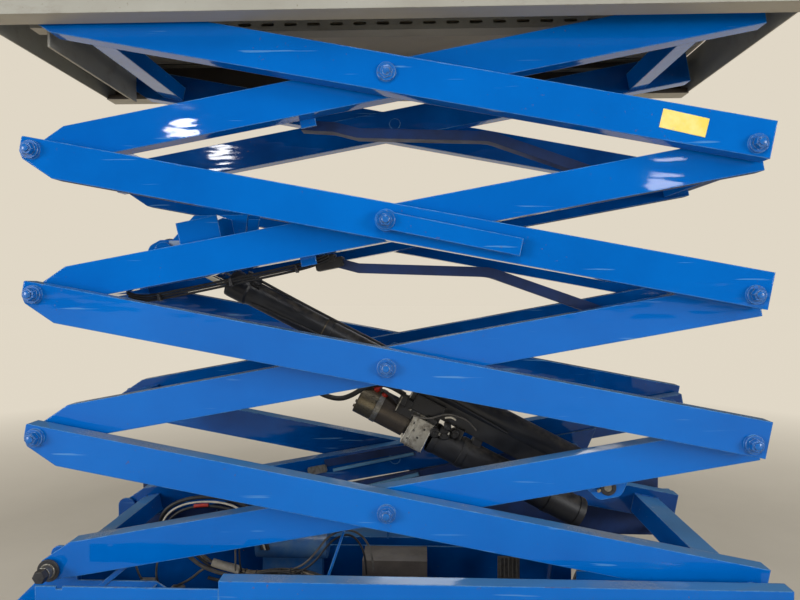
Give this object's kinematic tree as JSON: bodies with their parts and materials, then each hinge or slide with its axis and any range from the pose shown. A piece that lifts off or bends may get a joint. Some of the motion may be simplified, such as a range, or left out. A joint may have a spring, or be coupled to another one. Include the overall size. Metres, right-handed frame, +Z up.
{
  "type": "electric slab scissor lift",
  "caption": "Narrow self-propelled platform lift: steerable wheeled chassis, crossed-arm stack raised by one central cylinder, railed platform with a slide-out deck.",
  "frame": {"origin": "on the ground under the middle of the chassis", "axes": "+X to the steered end, +Y to the machine's left, +Z up"},
  "size_m": [2.4393, 0.812, 3.4277],
  "materials": {
    "stack_paint": "gloss blue paint, scuffed at the edges",
    "chassis_paint": "gloss blue paint with rust at the edges",
    "platform_paint": "satin pale grey paint",
    "deck_metal": "matte grip coating",
    "barrel_paint": "satin black paint",
    "rod_chrome": "polished hard chrome",
    "motor_paint": "dusty brown-black paint",
    "valve_metal": "machined aluminium",
    "tank_plastic": "black moulded plastic",
    "bridge_steel": "dark slate-blue paint",
    "tyre": "solid non-marking rubber",
    "rim_paint": "grey-white paint",
    "axle_steel": "black paint",
    "box_plastic": "grey-brown plastic",
    "spare_tank_paint": "blue-grey paint",
    "control_plastic": "dark plastic"
  },
  "bodies": {
    "chassis": {"floor_pan": "chassis_paint", "chassis_webs": "chassis_paint", "slide_channels": "chassis_paint", "rear_side_plates": "chassis_paint", "end_plates": "chassis_paint", "outriggers": "chassis_paint", "guard_brackets": "chassis_paint", "ladder": "chassis_paint", "ground_control": "control_plastic", "rear_axle": "axle_steel", "steer_beam": "axle_steel", "spare_tank": "spare_tank_paint", "charger_box": "box_plastic"},
    "inner_1": {"inner_arms_1": "stack_paint", "inner_cross_1": "stack_paint"},
    "outer_1": {"outer_arms_1": "stack_paint"},
    "inner_2": {"inner_arms_2": "stack_paint", "inner_cross_2": "stack_paint"},
    "outer_2": {"outer_arms_2": "stack_paint"},
    "inner_3": {"inner_arms_3": "stack_paint", "inner_cross_3": "stack_paint", "rod_bracket": "stack_paint"},
    "outer_3": {"outer_arms_3": "stack_paint"},
    "inner_4": {"inner_arms_4": "stack_paint", "inner_cross_4": "stack_paint"},
    "outer_4": {"outer_arms_4": "stack_paint"},
    "cylinder": {"cylinder_barrel": "barrel_paint", "pump_motor": "motor_paint", "valve_block": "valve_metal", "oil_tank": "tank_plastic"},
    "rod": {"cylinder_rod": "rod_chrome"},
    "safety_bar": {"safety_bar": "stack_paint"},
    "cable_bridge_3": {"cable_bridge_3": "bridge_steel"},
    "cable_bridge_4": {"cable_bridge_4": "bridge_steel"},
    "platform": {"platform_sides": "platform_paint", "platform_ends": "platform_paint", "deck": "deck_metal", "pin_carrier": "platform_paint", "deck_rib": "platform_paint", "side_rails": "platform_paint", "rear_rails": "platform_paint"},
    "extension": {"extension_deck": "deck_metal", "extension_rails": "platform_paint", "control_station": "control_plastic"},
    "gate": {"gate": "platform_paint"},
    "wheel_front_right": {"tyre_front_right": "tyre", "rim_front_right": "rim_paint"},
    "wheel_front_left": {"tyre_front_left": "tyre", "rim_front_left": "rim_paint"},
    "wheel_rear_right": {"tyre_rear_right": "tyre", "rim_rear_right": "rim_paint"},
    "wheel_rear_left": {"tyre_rear_left": "tyre", "rim_rear_left": "rim_paint"},
    "yoke_right": {"yoke_right": "axle_steel"},
    "tray_right": {"tray_right": "chassis_paint"},
    "pothole_guard_right": {"pothole_guard_right": "chassis_paint"},
    "yoke_left": {"yoke_left": "axle_steel"},
    "tray_left": {"tray_left": "chassis_paint"},
    "pothole_guard_left": {"pothole_guard_left": "chassis_paint"},
    "tie_rod": {"tie_rod": "axle_steel"}
  },
  "joints": [
    {"name": "lift", "type": "hinge", "parent": "chassis", "child": "inner_1", "pos_m": [-1, 0, 0.57], "axis": [0, -1, 0], "range_deg": [-7.2, 47.2]},
    {"name": "centre_1", "type": "hinge", "parent": "inner_1", "child": "outer_1", "pos_m": [0.02892, 0, 0.77934], "axis": [0, -1, 0], "range_deg": [-94.4, 14.4]},
    {"name": "left_1", "type": "hinge", "parent": "outer_1", "child": "inner_2", "pos_m": [-1, 0, 0.98867], "axis": [0, -1, 0], "range_deg": [-14.4, 94.4]},
    {"name": "centre_2", "type": "hinge", "parent": "inner_2", "child": "outer_2", "pos_m": [0.02892, 0, 1.19801], "axis": [0, -1, 0], "range_deg": [-94.4, 14.4]},
    {"name": "left_2", "type": "hinge", "parent": "outer_2", "child": "inner_3", "pos_m": [-1, 0, 1.40735], "axis": [0, -1, 0], "range_deg": [-14.4, 94.4]},
    {"name": "centre_3", "type": "hinge", "parent": "inner_3", "child": "outer_3", "pos_m": [0.02892, 0, 1.61668], "axis": [0, -1, 0], "range_deg": [-94.4, 14.4]},
    {"name": "left_3", "type": "hinge", "parent": "outer_3", "child": "inner_4", "pos_m": [-1, 0, 1.82602], "axis": [0, -1, 0], "range_deg": [-14.4, 94.4]},
    {"name": "centre_4", "type": "hinge", "parent": "inner_4", "child": "outer_4", "pos_m": [0.02892, 0, 2.03535], "axis": [0, -1, 0], "range_deg": [-94.4, 14.4]},
    {"name": "platform_pin", "type": "hinge", "parent": "outer_4", "child": "platform", "pos_m": [-1, 0, 2.24469], "axis": [0, -1, 0], "range_deg": [-7.2, 47.2]},
    {"name": "cylinder_swing", "type": "hinge", "parent": "inner_1", "child": "cylinder", "pos_m": [0.69126, 0, 0.82429], "axis": [0, -1, 0], "range_deg": [-93.46, 14.26]},
    {"name": "rod_slide", "type": "slide", "parent": "cylinder", "child": "rod", "axis": [-0.8901, 0, 0.4558], "range_m": [-0.1558, 1.0215]},
    {"name": "safety_swing", "type": "hinge", "parent": "outer_3", "child": "safety_bar", "pos_m": [0.02892, 0, 1.61668], "axis": [0, 1, 0], "range_deg": [0, 78.5]},
    {"name": "bridge_swing_3", "type": "hinge", "parent": "inner_3", "child": "cable_bridge_3", "pos_m": [-0.21647, 0, 1.51369], "axis": [0, -1, 0], "range_deg": [-115.64, 17.64]},
    {"name": "bridge_swing_4", "type": "hinge", "parent": "inner_4", "child": "cable_bridge_4", "pos_m": [-0.21647, 0, 1.93236], "axis": [0, -1, 0], "range_deg": [-115.64, 17.64]},
    {"name": "steer_left", "type": "hinge", "parent": "chassis", "child": "yoke_left", "pos_m": [0.925, 0.25, 0.19], "axis": [0, 0, 1], "range_deg": [-37, 37]},
    {"name": "steer_right", "type": "hinge", "parent": "chassis", "child": "yoke_right", "pos_m": [0.925, -0.25, 0.19], "axis": [0, 0, 1], "range_deg": [-37, 37]},
    {"name": "tie_rod_shift", "type": "slide", "parent": "chassis", "child": "tie_rod", "axis": [0, -1, 0], "range_m": [-0.073, 0.073]},
    {"name": "front_wheel_right", "type": "hinge", "parent": "yoke_right", "child": "wheel_front_right", "pos_m": [0.925, -0.3415, 0.19], "axis": [0, 1, 0], "continuous": true},
    {"name": "rear_wheel_right", "type": "hinge", "parent": "chassis", "child": "wheel_rear_right", "pos_m": [-0.925, -0.3415, 0.19], "axis": [0, 1, 0], "continuous": true},
    {"name": "front_wheel_left", "type": "hinge", "parent": "yoke_left", "child": "wheel_front_left", "pos_m": [0.925, 0.3415, 0.19], "axis": [0, 1, 0], "continuous": true},
    {"name": "rear_wheel_left", "type": "hinge", "parent": "chassis", "child": "wheel_rear_left", "pos_m": [-0.925, 0.3415, 0.19], "axis": [0, 1, 0], "continuous": true},
    {"name": "tray_swing_right", "type": "hinge", "parent": "chassis", "child": "tray_right", "pos_m": [-0.56, -0.392, 0.16], "axis": [0, 0, -1], "range_deg": [0, 75]},
    {"name": "tray_swing_left", "type": "hinge", "parent": "chassis", "child": "tray_left", "pos_m": [-0.56, 0.392, 0.16], "axis": [0, 0, 1], "range_deg": [0, 75]},
    {"name": "guard_swing_right", "type": "hinge", "parent": "chassis", "child": "pothole_guard_right", "pos_m": [0, -0.396, 0.14], "axis": [1, 0, 0], "range_deg": [0, 78]},
    {"name": "guard_swing_left", "type": "hinge", "parent": "chassis", "child": "pothole_guard_left", "pos_m": [0, 0.396, 0.14], "axis": [-1, 0, 0], "range_deg": [0, 78]},
    {"name": "extension_slide", "type": "slide", "parent": "platform", "child": "extension", "axis": [1, 0, 0], "range_m": [0, 0.9]},
    {"name": "gate_swing", "type": "hinge", "parent": "platform", "child": "gate", "pos_m": [-1.089, -0.177, 2.84469], "axis": [0, 0, -1], "range_deg": [0, 90]}
  ],
  "couplings": [
    {"joint": "centre_1", "follows": "lift", "ratio": -2},
    {"joint": "left_1", "follows": "lift", "ratio": 2},
    {"joint": "centre_2", "follows": "lift", "ratio": -2},
    {"joint": "left_2", "follows": "lift", "ratio": 2},
    {"joint": "centre_3", "follows": "lift", "ratio": -2},
    {"joint": "left_3", "follows": "lift", "ratio": 2},
    {"joint": "centre_4", "follows": "lift", "ratio": -2},
    {"joint": "platform_pin", "follows": "lift", "ratio": 1},
    {"joint": "cylinder_swing", "follows": "lift", "ratio": -1.98},
    {"joint": "rod_slide", "follows": "lift", "m_per_rad": 1.24},
    {"joint": "bridge_swing_3", "follows": "lift", "ratio": -2.45},
    {"joint": "bridge_swing_4", "follows": "lift", "ratio": -2.45},
    {"joint": "steer_right", "follows": "steer_left", "ratio": 1},
    {"joint": "tie_rod_shift", "follows": "steer_left", "m_per_rad": 0.112}
  ]
}
